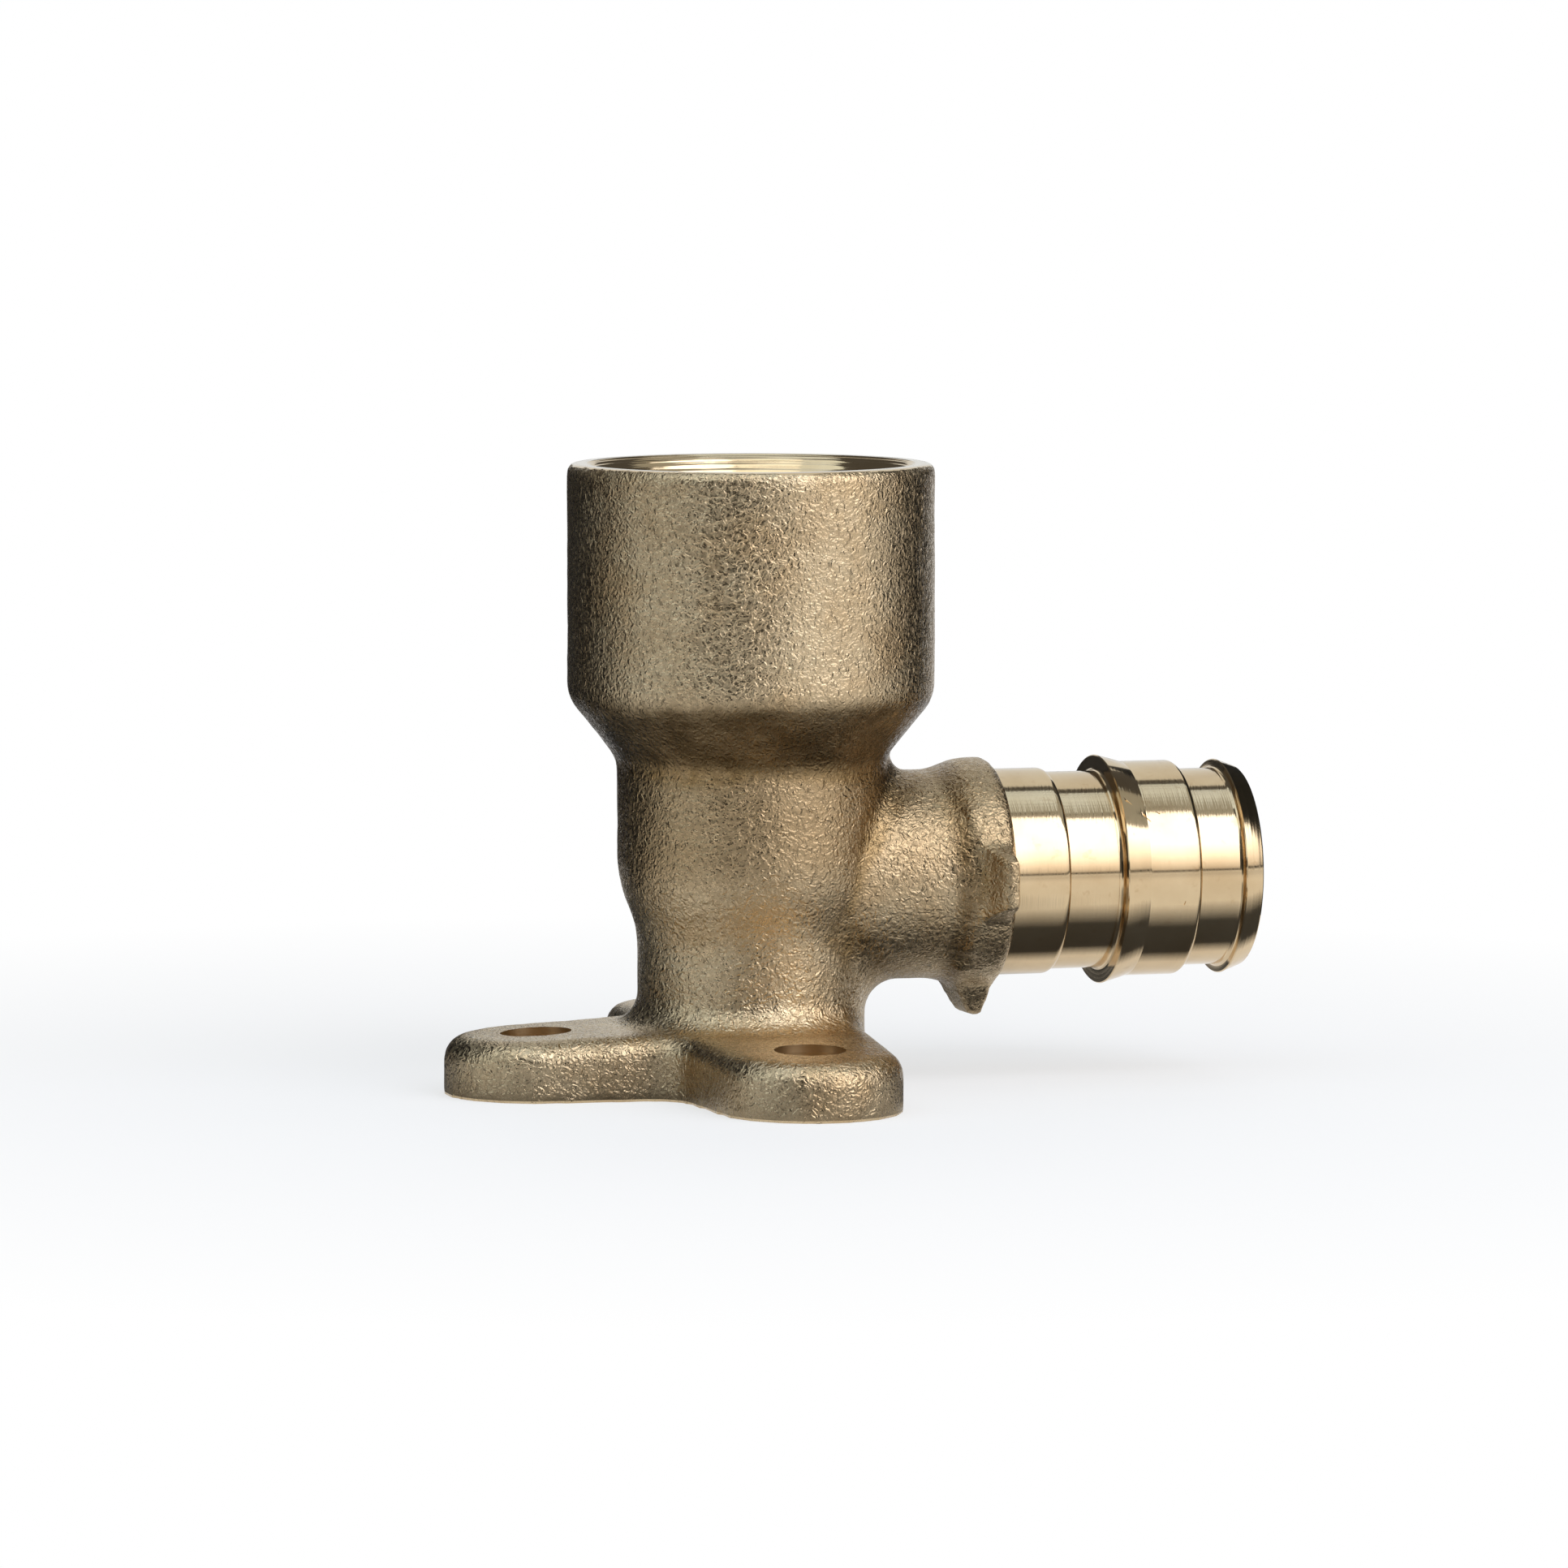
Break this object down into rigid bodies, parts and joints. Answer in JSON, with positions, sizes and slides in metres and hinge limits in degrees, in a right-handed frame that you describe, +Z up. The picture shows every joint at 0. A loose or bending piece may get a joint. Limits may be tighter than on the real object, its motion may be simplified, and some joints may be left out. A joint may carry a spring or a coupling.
{
  "type": "wall plate elbow",
  "caption": "Brass wall plate elbow: a female threaded socket above an eared fixing plate, with a barbed spigot at its side for expansion tubing.",
  "frame": {"origin": "on the socket axis, in the fixing plate's underside", "axes": "+Z up the socket axis and out of its mouth, +X along the spigot and out of its nose"},
  "size_m": [0.0597, 0.0456, 0.0456],
  "materials": {
    "brass": "shot-blasted cast skin with bright turned barbs, rim, thread and holes"
  },
  "bodies": {
    "root": {"elbow_body": "brass"}
  },
  "joints": []
}
